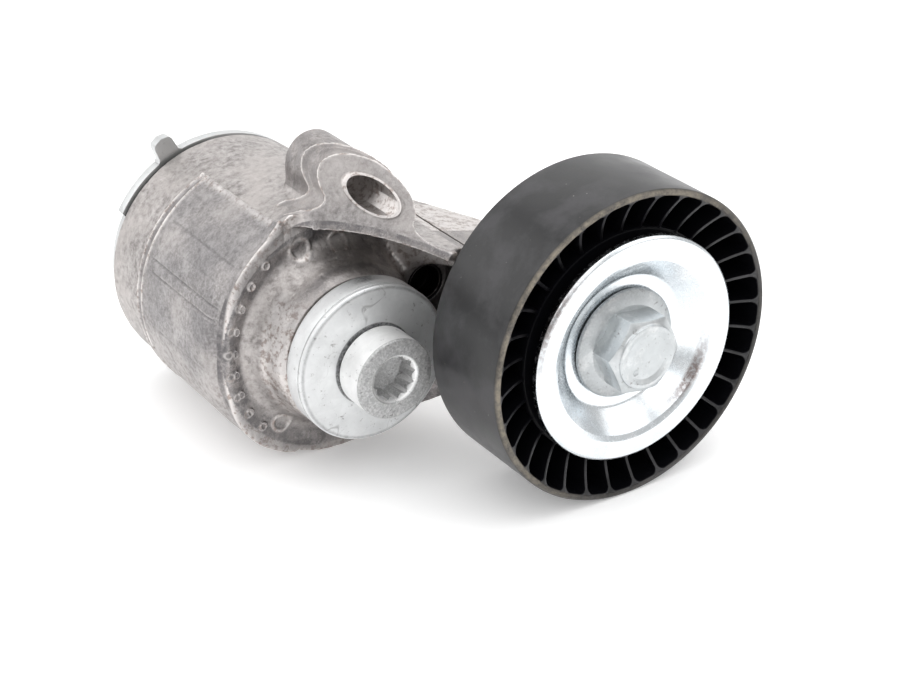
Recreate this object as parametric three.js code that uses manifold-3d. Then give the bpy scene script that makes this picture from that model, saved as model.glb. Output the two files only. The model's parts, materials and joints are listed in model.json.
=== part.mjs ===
// Automatic belt tensioner with idler pulley, in millimetres, +Z up.
// It lies on its side, on the drum and the pulley rim. The pivot axis and the pulley axis are
// both parallel to Y: the mounting plate faces +Y, the pulley and the bolt heads face -Y.
import * as THREE from 'three';
import { mergeVertices } from 'three/addons/utils/BufferGeometryUtils.js';
import Module from 'manifold-3d';

const wasm = await Module();
wasm.setup();

// ---- Driving dimensions -------------------------------------------------------------------
const GAP = 0.3;               // clearance kept between separate pieces

// Pulley and its place on the arm, measured from the pivot axis
const PULLEY_R = 35;
const PULLEY_WIDTH = 23.4;
const PULLEY_FRONT = -106.8;   // front rim, ahead of the mounting plate's rear face
const PULLEY_REAR = PULLEY_FRONT + PULLEY_WIDTH;
const ARM_REACH = 42;          // pivot axis to pulley axis, along X
const ARM_RISE = 6.5;          // pivot axis to pulley axis, along Z
const RIB_COUNT = 32;
const RIB_PHASE = 3.5;         // degrees from +X to the first rib

// Drum of the arm casting
const DRUM_R = PULLEY_R - ARM_RISE;   // both rims stand on one plane
const DRUM_WALL = 3.5;
const DRUM_REAR = -3.6;
const DRUM_FACE = -54;                // recessed front face
const DRUM_RIM = -55.5;               // bright edge round the front face
const PANEL_R = DRUM_R + 0.9;         // raised side panel
const PANEL_REAR = -18;
const DRUM_FACETS = 56;        // a corner of the drum's facets falls on each axis

// Neck and pivot
const NECK_R = 17;
const NECK_FRONT = -64.5;
const PIVOT_BORE_R = 10.9;
const TUBE_R = 8.5;
const TUBE_BORE_R = 5.4;
const DISC_R = 17.7;
const DISC_REAR = -66;
const DISC_FRONT = -72;

// Mounting bolt (M10 cap head) and pulley bolt (M10 flange bolt)
const THREAD_R = 5;
const BOLT_HEAD_R = 8.75;
const BOLT_HEAD_FRONT = -80.5;
const BOLT_TIP = 20;
const HEX_FLATS = 15.8;
const HEX_TOP = -111.2;
const CAP_FLOOR = -102.3;

// Mounting plate
const PLATE_R = 28.3;
const PLATE_THICK = 2.4;
const SWING_DEG = 40;          // arm travel between its two stops

// Lug with the locking-pin hole; its mouth is cut by an oblique plane
const LUG = { x: 5, z: 34.2, r: 6.5, tipR: 5, bore: 3.2, lip: 3.75, rear: -38 };
const MOUTH_NORMAL = new THREE.Vector3(-0.67, -0.5, 0.55).normalize();
const MOUTH_POINT = new THREE.Vector3(LUG.x, -64.8, LUG.z);

// Arm beyond the drum
const ARM_WALL = 3;
const BOSS_R = 12.5;
const BOSS_FRONT = -80.6;
const BOSS_REAR = -66;

// Bearing: bore, races and balls
const BEARING = { bore: 8.6, inner: 11.6, outer: 17, od: 20, front: -100.8, rear: -86.8 };
const BALL_R = 3.2;
const BALL_COUNT = 9;
const BALL_PITCH_R = (BEARING.inner + BEARING.outer) / 2;
const BEARING_MID = (BEARING.front + BEARING.rear) / 2;

const deg = THREE.MathUtils.degToRad;

// ---- Solids -------------------------------------------------------------------------------
// A closed three.js geometry as a manifold solid, in the frame of the given matrix
function solid(geometry, matrix) {
  const g = geometry.clone();
  if (matrix) g.applyMatrix4(matrix);
  g.deleteAttribute('normal');
  g.deleteAttribute('uv');
  const merged = mergeVertices(g, 1e-4);
  return new wasm.Manifold(new wasm.Mesh({
    numProp: 3,
    vertProperties: new Float32Array(merged.attributes.position.array),
    triVerts: new Uint32Array(merged.index.array),
  }));
}

function geometryOf(manifold) {
  const mesh = manifold.getMesh();
  const g = new THREE.BufferGeometry();
  g.setAttribute('position', new THREE.BufferAttribute(new Float32Array(mesh.vertProperties), 3));
  g.setIndex(new THREE.BufferAttribute(new Uint32Array(mesh.triVerts), 1));
  return g;
}

// Closed profile of [radius, y] points, turned round the Y axis; its order sets no sign
function turned(points, segments = 64) {
  let area = 0;
  points.forEach(([r, y], i) => {
    const [r2, y2] = points[(i + 1) % points.length];
    area += r * y2 - r2 * y;
  });
  const ring = (area > 0 ? points : [...points].reverse()).map(([r, y]) => new THREE.Vector2(r, y));
  return new THREE.LatheGeometry([...ring, ring[0].clone()], segments);
}

// Plain ring or tube between two planes
function tube(inner, outer, front, rear, segments) {
  return turned([[inner, front], [outer, front], [outer, rear], [inner, rear]], segments);
}

// Rod or disc on the Y axis
function rod(radius, front, rear, segments = 48) {
  const g = new THREE.CylinderGeometry(radius, radius, rear - front, segments);
  return g.translate(0, (front + rear) / 2, 0);
}

// Outline drawn in X and Z, filled from the plane y = rear forward to y = front
function slab(shape, front, rear, curveSegments = 10) {
  const g = new THREE.ExtrudeGeometry(shape, { depth: rear - front, bevelEnabled: false, curveSegments });
  return g.rotateX(Math.PI / 2).translate(0, rear, 0);
}

// Point at an angle in the XZ plane, counted from +X towards +Z
function polar(r, angle, x = 0, z = 0) {
  return [x + r * Math.cos(angle), z + r * Math.sin(angle)];
}

// Sector of a ring in the XZ plane, between two angles in degrees
function sector(inner, outer, from, to) {
  const s = new THREE.Shape();
  s.absarc(0, 0, outer, deg(from), deg(to), false);
  s.absarc(0, 0, inner, deg(to), deg(from), true);
  s.closePath();
  return s;
}

function at(x, y, z) {
  return new THREE.Matrix4().makeTranslation(x, y, z);
}

const atPulley = at(ARM_REACH, 0, ARM_RISE);

// ---- Arm casting --------------------------------------------------------------------------
// Tangent points of the line that runs over two circles in the XZ plane, on the given side
function tangent(a, b, side) {
  const span = Math.hypot(b.x - a.x, b.z - a.z);
  const along = Math.atan2(b.z - a.z, b.x - a.x);
  const angle = along + side * Math.acos((a.r - b.r) / span);
  return [polar(a.r, angle, a.x, a.z), polar(b.r, angle, b.x, b.z), angle];
}

// Arm outline: round the boss, along the lower wall to the drum, and back over the top wall.
// inset moves the whole outline inwards.
function armOutline(inset) {
  const boss = { x: ARM_REACH, z: ARM_RISE, r: BOSS_R - inset };
  const drum = { x: 0, z: 0, r: DRUM_R - 1 - inset };
  const root = { x: 3, z: 4, r: 24.5 - inset };
  const [topStart, topEnd, topAngle] = tangent(root, boss, 1);
  const [lowStart, lowEnd, lowAngle] = tangent(drum, boss, -1);
  const s = new THREE.Shape();
  s.moveTo(...topStart);
  s.lineTo(...topEnd);
  s.absarc(boss.x, boss.z, boss.r, topAngle, lowAngle, true);
  s.lineTo(...lowStart);
  s.absarc(0, 0, drum.r, lowAngle, lowAngle - deg(60), true);
  s.lineTo(-12, 0);
  s.closePath();
  return s;
}

// Wedge that removes everything on the outer side of a plane given by a point and a normal
function beyond(point, normal, size = 160) {
  const box = new THREE.BoxGeometry(size, size, size).translate(0, 0, size / 2);
  const turn = new THREE.Quaternion().setFromUnitVectors(new THREE.Vector3(0, 0, 1), normal);
  return solid(box, new THREE.Matrix4().compose(point, turn, new THREE.Vector3(1, 1, 1)));
}

function drumShell() {
  const body = solid(turned([
    [0, DRUM_REAR], [DRUM_R - 0.6, DRUM_REAR], [DRUM_R, DRUM_REAR - 0.8],
    [DRUM_R, DRUM_RIM + 1.4], [DRUM_R - 1, DRUM_RIM], [DRUM_R - 2, DRUM_RIM + 0.2],
    [DRUM_R - 2.8, DRUM_FACE], [23.8, DRUM_FACE - 0.2], [20.9, DRUM_FACE - 2],
    [19.1, DRUM_FACE - 5], [NECK_R + 0.9, NECK_FRONT + 1.6], [NECK_R, NECK_FRONT],
    [0, NECK_FRONT],
  ], DRUM_FACETS));
  const panelRing = solid(turned([
    [DRUM_R - 2, PANEL_REAR + 0.4], [DRUM_R, PANEL_REAR + 0.4], [PANEL_R, PANEL_REAR - 0.8],
    [PANEL_R, DRUM_RIM + 2], [DRUM_R, DRUM_RIM + 0.5], [DRUM_R - 2, DRUM_RIM + 0.5],
  ], DRUM_FACETS));
  const panelSpan = solid(slab(sector(20, 40, 112, 250), DRUM_RIM - 1, 0, 8));
  const groove = (angle) => solid(
    new THREE.BoxGeometry(0.5, 32, 0.5),
    new THREE.Matrix4().makeRotationY(-deg(angle)).multiply(at(PANEL_R, -38.5, 0)),
  );
  return body
    .add(panelRing.intersect(panelSpan))
    .subtract(groove(156))
    .subtract(groove(161.5));
}

// Everything inside the drum: spring chamber, hub tube round the pivot, and the two stops
function hollowDrum(casting) {
  const chamberR = DRUM_R - DRUM_WALL;
  const wall = -49;
  const chamber = solid(rod(chamberR, wall, 5, 36));
  const hub = solid(tube(PIVOT_BORE_R - 1, 14, wall - 1, -22, 28));
  const bore = solid(rod(PIVOT_BORE_R, NECK_FRONT - 1, 5, 28));
  const stop = (from, to) => solid(slab(sector(22.3, chamberR + 1, from, to), -8.5, DRUM_REAR, 6));
  return casting
    .subtract(chamber)
    .add(hub)
    .subtract(bore)
    .add(stop(-79.2, -66))
    .add(stop(-155, -140.8 - (SWING_DEG - 40)));
}

function lugBody() {
  const barrel = solid(turned([
    [0, -95], [LUG.tipR, -95], [LUG.tipR, -73], [LUG.r, -61], [LUG.r, LUG.rear], [0, LUG.rear],
  ], 32), at(LUG.x, 0, LUG.z));
  const foot = new THREE.Shape();
  foot.moveTo(LUG.x - LUG.r, LUG.z);
  foot.lineTo(LUG.x - LUG.r, 30.5);
  foot.quadraticCurveTo(LUG.x - LUG.r - 0.4, 28.6, -6.5, 26.9);
  foot.lineTo(-9.5, 24.5);
  foot.lineTo(8, 20);
  foot.lineTo(14, 25.2);
  foot.lineTo(10.6, 27.4);
  foot.quadraticCurveTo(8.2, 28.8, 8.5, 30.5);
  foot.lineTo(LUG.x + LUG.tipR - 0.2, LUG.z);
  foot.closePath();
  return barrel.add(solid(slab(foot, -95, LUG.rear, 5)));
}

// Open channel from the drum's face to the boss, with the lug's web as its top wall
function armChannel() {
  const outer = solid(slab(armOutline(0), BOSS_FRONT, -40, 12));
  const blank = outer.add(lugBody());
  const mouth = beyond(MOUTH_POINT, MOUTH_NORMAL);
  const lowerSlope = beyond(
    new THREE.Vector3(22, -63, -20), new THREE.Vector3(-0.57, -0.82, -0.12).normalize());
  const lowerHalf = solid(new THREE.BoxGeometry(120, 120, 60), at(20, -60, -30 + 4));
  const front = beyond(new THREE.Vector3(0, BOSS_FRONT, 0), new THREE.Vector3(0, -1, 0));
  const rearSlope = beyond(
    new THREE.Vector3(24, -50, 0), new THREE.Vector3(1.33, 1, 0).normalize());
  const rearKeep = solid(new THREE.BoxGeometry(90, 60, 60), at(45, BOSS_REAR - 30, ARM_RISE));
  return blank
    .subtract(mouth)
    .subtract(front)
    .subtract(lowerSlope.intersect(lowerHalf))
    .subtract(rearSlope.subtract(rearKeep));
}

function armPocket() {
  const inner = solid(slab(armOutline(ARM_WALL), -100, DRUM_FACE, 12));
  const underLug = solid(rod(DRUM_R - 0.9, -100, DRUM_FACE, DRUM_FACETS));
  const rise = beyond(new THREE.Vector3(13, DRUM_FACE, 0), new THREE.Vector3(1.1, 1, 0).normalize());
  return inner.add(underLug).subtract(rise);
}

// Boss and spigot that carry the bearing, with the hole for the pulley bolt
function bossAndSpigot() {
  return solid(turned([
    [0, BOSS_REAR], [BOSS_R, BOSS_REAR], [BOSS_R, BOSS_FRONT], [11, BOSS_FRONT],
    [11, BEARING.rear + GAP], [BEARING.bore - GAP, BEARING.rear + GAP],
    [BEARING.bore - GAP, -99.6], [BEARING.bore - 0.8, -100.2], [0, -100.2],
  ], 28), atPulley);
}

function armHousing() {
  const lip = solid(turned([
    [LUG.bore - 0.5, -90], [LUG.lip, -90], [LUG.lip, -50], [LUG.bore - 0.5, -50],
  ], 32), at(LUG.x, 0, LUG.z));
  const lipHeight = MOUTH_NORMAL.clone().multiplyScalar(0.5).add(MOUTH_POINT);
  const pinHole = solid(rod(LUG.bore, -110, -20, 32), at(LUG.x, 0, LUG.z));
  const boltHole = solid(rod(THREAD_R + GAP, -110, -50, 32), atPulley);
  const coredHole = solid(rod(6.6, -90, -56, 24), at(22, 0, 8.5));
  const coredStep = solid(rod(4, -90, -51.5, 20), at(23, 0, 7));
  const button = (angle, r) => {
    const [x, z] = polar(r, deg(angle));
    return solid(rod(2.4, DRUM_FACE - 0.8, DRUM_FACE + 0.5, 16), at(x, 0, z));
  };
  const casting = drumShell()
    .add(armChannel().subtract(armPocket()))
    .add(bossAndSpigot())
    .add(button(-127, 22.4))
    .add(button(86, 21.6))
    .add(lip.subtract(beyond(lipHeight, MOUTH_NORMAL)))
    .subtract(pinHole)
    .subtract(boltHole)
    .subtract(coredHole)
    .subtract(coredStep);
  return geometryOf(hollowDrum(casting));
}

// ---- Pieces on the pivot ------------------------------------------------------------------
function mountingPlate() {
  const relief = PLATE_R - 1.6;
  const disc = solid(rod(relief, -PLATE_THICK, 0, 40));
  const lobe = solid(slab(sector(20, PLATE_R, 36, 149), -PLATE_THICK, 0, 16));
  const tab = new THREE.Shape();
  tab.moveTo(25, -2.7);
  tab.lineTo(31.6, -2.4);
  tab.quadraticCurveTo(33.2, -2.3, 33.2, -0.8);
  tab.lineTo(33.2, 0.8);
  tab.quadraticCurveTo(33.2, 2.3, 31.6, 2.4);
  tab.lineTo(25, 2.7);
  tab.closePath();
  const tabSolid = solid(slab(tab, -PLATE_THICK, 0, 4), new THREE.Matrix4().makeRotationY(-deg(114)));
  const stop = solid(slab(sector(22.3, DRUM_R - DRUM_WALL - GAP, -100, -80), -8.5, -1, 6));
  const hole = solid(rod(TUBE_R + GAP, -10, 5));
  return geometryOf(disc.add(lobe).add(tabSolid).add(stop).subtract(hole));
}

function pivotTube() {
  return turned([
    [TUBE_BORE_R, 0], [TUBE_R, 0], [TUBE_R, DISC_REAR + GAP + 0.5], [TUBE_R - 0.5, DISC_REAR + GAP],
    [6.3, DISC_REAR + GAP], [6.3, -63.2], [TUBE_BORE_R, -63.2],
  ], 36);
}

function frontDisc() {
  return turned([
    [TUBE_BORE_R, DISC_REAR], [DISC_R, DISC_REAR], [DISC_R, DISC_FRONT + 1.6],
    [DISC_R - 0.3, DISC_FRONT + 1.3], [DISC_R - 0.3, DISC_FRONT + 0.8], [DISC_R - 1.1, DISC_FRONT],
    [TUBE_BORE_R, DISC_FRONT],
  ], 48);
}

// Star outline of a twelve-point drive socket
function twelvePoint(outer, inner) {
  const s = new THREE.Shape();
  for (let i = 0; i < 24; i++) {
    const p = polar(i % 2 ? inner : outer, i * Math.PI / 12);
    if (i) s.lineTo(...p);
    else s.moveTo(...p);
  }
  s.closePath();
  return s;
}

function mountingBolt() {
  const rear = DISC_FRONT - GAP;
  const body = solid(turned([
    [0, BOLT_HEAD_FRONT], [BOLT_HEAD_R - 0.8, BOLT_HEAD_FRONT], [BOLT_HEAD_R, BOLT_HEAD_FRONT + 0.8],
    [BOLT_HEAD_R, rear - 0.3], [BOLT_HEAD_R - 0.3, rear], [THREAD_R - 0.4, rear],
    [THREAD_R - 0.4, GAP], [THREAD_R, GAP], [THREAD_R, BOLT_TIP - 1.2], [THREAD_R - 1, BOLT_TIP],
    [0, BOLT_TIP],
  ], 32));
  const lead = solid(turned([
    [0, BOLT_HEAD_FRONT - 1], [5.9, BOLT_HEAD_FRONT - 1], [5.4, BOLT_HEAD_FRONT + 0.5], [0, BOLT_HEAD_FRONT + 0.5],
  ], 24));
  const socket = solid(slab(twelvePoint(5.2, 4.3), BOLT_HEAD_FRONT - 1, BOLT_HEAD_FRONT + 6.2));
  return geometryOf(body.subtract(socket).subtract(lead));
}

// Round spring wire wound as a right-hand helix about Y
class Helix extends THREE.Curve {
  constructor(radius, front, rear, turns) {
    super();
    Object.assign(this, { radius, front, rear, turns });
  }

  getPoint(t, target = new THREE.Vector3()) {
    const a = t * this.turns * 2 * Math.PI;
    const y = this.rear + (this.front - this.rear) * t;
    return target.set(this.radius * Math.cos(a), y, this.radius * Math.sin(a));
  }
}

function torsionSpring() {
  const wireR = 2.2;
  const turns = 6;
  const wire = new THREE.Shape();
  wire.absarc(0, 0, wireR, 0, 2 * Math.PI, false);
  return new THREE.ExtrudeGeometry(wire, {
    steps: turns * 14,
    curveSegments: 3,
    extrudePath: new Helix(19.4, -44.4, -7.6, turns),
    bevelEnabled: false,
  });
}

// Split ring of friction lining, pressed against the drum's wall by the spring
function damperRing() {
  return slab(sector(22.3, DRUM_R - DRUM_WALL - GAP, -250, 70), -20.5, -9, 20);
}

// ---- Pulley and bearing, drawn on the Y axis -----------------------------------------------
function pulleyShell() {
  const web = { front: -96.5, rear: -93.5 };
  const dip = 3;                 // the spokes fall away from the rim towards the hub
  const cavity = { inner: 26.8, outer: PULLEY_R - 1.8 };
  const hubR = BEARING.od + GAP;
  const body = solid(turned([
    [hubR, PULLEY_FRONT + dip], [cavity.inner + 1.2, PULLEY_FRONT + dip],
    [PULLEY_R - 2, PULLEY_FRONT], [PULLEY_R - 0.5, PULLEY_FRONT], [PULLEY_R, PULLEY_FRONT + 0.5],
    [PULLEY_R, PULLEY_REAR - 0.5], [PULLEY_R - 0.5, PULLEY_REAR], [PULLEY_R - 2, PULLEY_REAR],
    [cavity.inner + 1.2, PULLEY_REAR - dip], [hubR, PULLEY_REAR - dip],
  ], RIB_COUNT * 2));
  const pitch = 360 / RIB_COUNT;
  const halfRib = 0.6;          // ribs about 1.2 thick
  const pocket = new THREE.Shape();
  const edge = (r, side) => [r, side * (r * Math.tan(deg(pitch / 2)) - halfRib)];
  pocket.moveTo(...edge(cavity.inner, -1));
  pocket.lineTo(...edge(cavity.outer, -1));
  pocket.lineTo(...edge(cavity.outer, 1));
  pocket.lineTo(...edge(cavity.inner, 1));
  pocket.closePath();
  const pockets = [];
  for (let i = 0; i < RIB_COUNT; i++) {
    const turn = new THREE.Matrix4().makeRotationY(-deg(RIB_PHASE + (i + 0.5) * pitch));
    pockets.push(solid(slab(pocket, PULLEY_FRONT - 1, web.front), turn));
    pockets.push(solid(slab(pocket, web.rear, PULLEY_REAR + 1), turn));
  }
  return geometryOf(pockets.reduce((shell, cut) => shell.subtract(cut), body));
}

// Groove profile of a race: points on the arc of the ball, at the given side of it
function race(side) {
  const r = BALL_R + 0.12;
  const lip = side > 0 ? BEARING.outer : BEARING.inner;
  const half = Math.acos(Math.abs(lip - BALL_PITCH_R) / r);
  return [-1, 0, 1].map((t) => [
    BALL_PITCH_R + side * r * Math.cos(t * half),
    BEARING_MID + r * Math.sin(t * half),
  ]);
}

function innerRing() {
  const { bore, inner, front, rear } = BEARING;
  return turned([[bore, front], [inner, front], ...race(-1), [inner, rear], [bore, rear]], 32);
}

function outerRing() {
  const { outer, od, front, rear } = BEARING;
  return turned([
    [outer, front + GAP], ...race(1), [outer, rear - GAP], [od, rear - GAP], [od, front + GAP],
  ], 36);
}

function ballAngle(i) {
  return (i + 0.5) * 2 * Math.PI / BALL_COUNT;
}

function ballPlace(i) {
  const [x, z] = polar(BALL_PITCH_R, ballAngle(i));
  return at(x, BEARING_MID, z);
}

function ballCage() {
  let cage = solid(tube(BALL_PITCH_R - 1, BALL_PITCH_R + 1, BEARING_MID - 4.4, BEARING_MID + 4.4, 27));
  for (let i = 0; i < BALL_COUNT; i++) {
    const pocket = new THREE.CylinderGeometry(BALL_R + 0.25, BALL_R + 0.25, 8, 10);
    pocket.rotateZ(Math.PI / 2).rotateY(-ballAngle(i));
    cage = cage.subtract(solid(pocket, ballPlace(i)));
  }
  return geometryOf(cage);
}

function dustCap() {
  const skin = 1.1;
  const lip = PULLEY_FRONT - 0.7;
  return turned([
    [THREAD_R + 0.6, CAP_FLOOR], [15.4, CAP_FLOOR], [19.4, lip + 0.6],
    [20.8, lip], [25, lip], [25.3, lip + 0.3], [25.3, lip + skin],
    [20.4, lip + skin], [15.8, CAP_FLOOR + skin], [THREAD_R + 0.6, CAP_FLOOR + skin],
  ], 48);
}

function rearShield() {
  return turned([
    [11.3, -86.1], [17, -86.1], [19.4, -85.4], [19.4, -84.6], [17, -85.3], [11.3, -85.3],
  ], 36);
}

function pulleyBolt() {
  const flangeRear = CAP_FLOOR - GAP;
  const hex = new THREE.Shape();
  for (let i = 0; i < 6; i++) {
    const p = polar(HEX_FLATS / Math.sqrt(3), deg(54.5 + i * 60));
    if (i) hex.lineTo(...p);
    else hex.moveTo(...p);
  }
  hex.closePath();
  const flange = solid(turned([
    [0, flangeRear], [12.2, flangeRear], [12.4, flangeRear - 0.6], [9.4, flangeRear - 1.7], [0, flangeRear - 1.9],
  ], 32));
  const crown = solid(turned([
    [0, flangeRear - 1], [9.6, flangeRear - 1], [9.6, HEX_TOP + 2.8], [7.6, HEX_TOP + 0.6],
    [6.8, HEX_TOP], [0, HEX_TOP],
  ], 30));
  const head = solid(slab(hex, HEX_TOP - 1, flangeRear - 1)).intersect(crown);
  const shank = solid(turned([
    [0, -67.2], [THREAD_R - 1, -67.2], [THREAD_R, -68.2], [THREAD_R, flangeRear - 1], [0, flangeRear - 1],
  ], 24));
  return geometryOf(flange.add(head).add(shank));
}

// ---- Assembly -----------------------------------------------------------------------------
const finishes = {
  castAluminium: { color: 0xa9a6a3, roughness: 0.5, metalness: 0.85 },
  zinc: { color: 0xc9ccce, roughness: 0.38, metalness: 0.9 },
  brightZinc: { color: 0xdfe5e8, roughness: 0.15, metalness: 1 },
  steel: { color: 0x8d8f92, roughness: 0.3, metalness: 1 },
  springSteel: { color: 0x5b5d60, roughness: 0.4, metalness: 1 },
  bearingSteel: { color: 0xc4c6c8, roughness: 0.12, metalness: 1 },
  blackNylon: { color: 0x2a2a2b, roughness: 0.55, metalness: 0 },
  blackRubber: { color: 0x1b1b1c, roughness: 0.8, metalness: 0 },
  greyPolymer: { color: 0x6d6a62, roughness: 0.6, metalness: 0 },
  brownCage: { color: 0x7c6a4a, roughness: 0.5, metalness: 0 },
};

function piece(name, geometry, finish) {
  const mesh = new THREE.Mesh(geometry, new THREE.MeshStandardMaterial(finishes[finish]));
  mesh.name = name;
  return mesh;
}

const pivotGroup = new THREE.Group();
pivotGroup.add(
  piece('mounting_plate', mountingPlate(), 'zinc'),
  piece('pivot_tube', pivotTube(), 'steel'),
  piece('front_disc', frontDisc(), 'zinc'),
  piece('mounting_bolt', mountingBolt(), 'zinc'),
  piece('bolt_retainer', tube(5.2, 6, -65.4, -63.6, 24), 'blackRubber'),
  piece('rear_seal', tube(25.4, 27.6, DRUM_REAR + GAP, -PLATE_THICK - GAP, 36), 'blackRubber'),
  piece('rear_spring_seat', tube(15, 21.9, -5.1, -PLATE_THICK - GAP, 32), 'greyPolymer'),
  piece('front_spring_seat', tube(14.4, 21.9, -48.7, -47, 32), 'greyPolymer'),
  piece('torsion_spring', torsionSpring(), 'springSteel'),
  piece('damper_ring', damperRing(), 'greyPolymer'),
  piece('arm_housing', armHousing(), 'castAluminium'),
  piece('front_bush', tube(TUBE_R + 0.15, PIVOT_BORE_R - GAP, -64.2, -50, 28), 'greyPolymer'),
  piece('rear_bush', tube(TUBE_R + 0.15, PIVOT_BORE_R - GAP, -36, -22.3, 28), 'greyPolymer'),
  piece('thrust_washer', tube(9, NECK_R - 0.4, DISC_REAR + GAP, NECK_FRONT - GAP, 36), 'greyPolymer'),
);

const pulleyGroup = new THREE.Group();
pulleyGroup.position.set(ARM_REACH, 0, ARM_RISE);
pulleyGroup.add(
  piece('pulley_shell', pulleyShell(), 'blackNylon'),
  piece('bearing_outer_ring', outerRing(), 'bearingSteel'),
  piece('bearing_inner_ring', innerRing(), 'bearingSteel'),
  piece('bearing_cage', ballCage(), 'brownCage'),
  piece('front_bearing_seal', tube(12, 16.7, -100.2, -99.2, 28), 'blackRubber'),
  piece('rear_bearing_seal', tube(12, 16.7, -88.4, -87.4, 28), 'blackRubber'),
  piece('front_dust_cap', dustCap(), 'brightZinc'),
  piece('rear_dust_shield', rearShield(), 'zinc'),
  piece('pulley_bolt', pulleyBolt(), 'zinc'),
);
for (let i = 0; i < BALL_COUNT; i++) {
  const ball = piece(`bearing_ball_${i + 1}`, new THREE.SphereGeometry(BALL_R, 8, 6), 'bearingSteel');
  ball.applyMatrix4(ballPlace(i));
  pulleyGroup.add(ball);
}

// The origin is the middle of the footprint of the lying tensioner
const left = -PANEL_R;
const right = ARM_REACH + PULLEY_R;
const tensioner = new THREE.Group();
tensioner.position.set(-(left + right) / 2, -(HEX_TOP + BOLT_TIP) / 2, DRUM_R);
tensioner.add(pivotGroup, pulleyGroup);

export default tensioner;
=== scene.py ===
# Visual model of the belt tensioner. Shapes are given in millimetres in the pivot's own frame, with
# X towards the pulley, Y towards the mounting face and Z up; mesh_of() puts them in the row frame.
import bmesh
import bpy
import json
import math
import numpy as np
from mathutils import Matrix, Vector


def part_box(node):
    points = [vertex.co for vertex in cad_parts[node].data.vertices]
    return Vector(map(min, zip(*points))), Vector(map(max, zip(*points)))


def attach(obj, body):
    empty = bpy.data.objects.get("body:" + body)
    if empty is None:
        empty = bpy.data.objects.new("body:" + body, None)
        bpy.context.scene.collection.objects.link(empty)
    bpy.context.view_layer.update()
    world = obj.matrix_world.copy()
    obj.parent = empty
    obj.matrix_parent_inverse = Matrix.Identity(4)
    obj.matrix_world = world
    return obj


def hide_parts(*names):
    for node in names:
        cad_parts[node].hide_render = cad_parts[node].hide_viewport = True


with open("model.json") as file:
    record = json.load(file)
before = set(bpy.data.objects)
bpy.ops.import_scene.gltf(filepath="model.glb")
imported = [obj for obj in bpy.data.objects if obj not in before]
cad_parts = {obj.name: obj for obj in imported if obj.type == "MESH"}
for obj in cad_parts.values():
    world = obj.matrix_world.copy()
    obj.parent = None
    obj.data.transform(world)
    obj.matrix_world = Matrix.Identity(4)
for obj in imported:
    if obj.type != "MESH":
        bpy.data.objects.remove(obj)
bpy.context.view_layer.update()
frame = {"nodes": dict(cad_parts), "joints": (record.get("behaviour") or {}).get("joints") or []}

joints = {j["name"]: j for j in frame["joints"]}
PIVOT = np.array(joints["arm_swing"]["pos_m"]) * 1000
AXLE = np.array(joints["pulley_spin"]["pos_m"]) * 1000
BASE_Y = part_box("mounting_plate")[1][1] * 1000
REACH, RISE = AXLE[0] - PIVOT[0], AXLE[2] - PIVOT[2]
OFFSET = np.array([PIVOT[0], BASE_Y, PIVOT[2]])
VOXEL = 0.2

# ------------------------------------------------------------------ mesh helpers


def mesh_of(name, verts, faces):
    """New mesh, in metres, with its faces turned outwards."""
    me = bpy.data.meshes.new(name)
    me.from_pydata([tuple((np.array(v) + OFFSET) * 0.001) for v in verts], [], faces)
    bm = bmesh.new()
    bm.from_mesh(me)
    bmesh.ops.remove_doubles(bm, verts=bm.verts, dist=1e-7)
    bmesh.ops.recalc_face_normals(bm, faces=bm.faces)
    bm.to_mesh(me)
    bm.free()
    return me


def obj_of(name, me):
    ob = bpy.data.objects.new(name, me)
    bpy.context.scene.collection.objects.link(ob)
    return ob


def smooth(ob, angle=32):
    me = ob.data
    me.polygons.foreach_set("use_smooth", [True] * len(me.polygons))
    me.set_sharp_from_angle(angle=math.radians(angle))
    me.update()


def piece(ob, material, body, slot, *nodes, angle=32):
    """Finished piece: material, shading, the body it rides on, the CAD nodes it stands for."""
    ob.data.materials.clear()
    ob.data.materials.append(material)
    smooth(ob, angle)
    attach(ob, body)
    if nodes:
        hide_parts(*nodes)
    return ob


def rounded(points, steps=4):
    """Closed or open 2-D outline whose points may carry a corner radius as a third number."""
    out = []
    n = len(points)
    for i, p in enumerate(points):
        r = p[2] if len(p) > 2 else 0
        if not r:
            out.append((p[0], p[1]))
            continue
        c = Vector(p[:2])
        u = Vector(points[i - 1][:2]) - c
        v = Vector(points[(i + 1) % n][:2]) - c
        half = u.angle(v) / 2
        d = min(r / math.tan(half), 0.48 * u.length, 0.48 * v.length)
        u.normalize()
        v.normalize()
        centre = c + (u + v).normalized() * d / math.cos(half)
        a, b = c + u * d - centre, c + v * d - centre
        turn = a.angle_signed(b)
        for k in range(steps + 1):
            t = -turn * k / steps
            q = Vector((a.x * math.cos(t) - a.y * math.sin(t), a.x * math.sin(t) + a.y * math.cos(t)))
            out.append(tuple(centre + q))
    return out


def turned(name, profile, cx=0.0, cz=0.0, n=160, steps=4):
    """Closed profile of (radius, y[, corner radius]) turned about the axis through (cx, cz)."""
    pts = rounded(profile, steps)
    verts, rows, faces = [], [], []
    for r, y in pts:
        if r < 1e-6:
            rows.append([len(verts)] * n)
            verts.append((cx, y, cz))
        else:
            rows.append(list(range(len(verts), len(verts) + n)))
            for k in range(n):
                a = 2 * math.pi * k / n
                verts.append((cx + r * math.cos(a), y, cz + r * math.sin(a)))
    for a, b in zip(rows, rows[1:] + rows[:1]):
        if a[0] == a[1] and b[0] == b[1]:
            continue
        for k in range(n):
            m = (k + 1) % n
            f = [a[k], a[m], b[m], b[k]]
            faces.append([v for i, v in enumerate(f) if v not in f[:i]])
    return obj_of(name, mesh_of(name, verts, faces))


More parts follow.
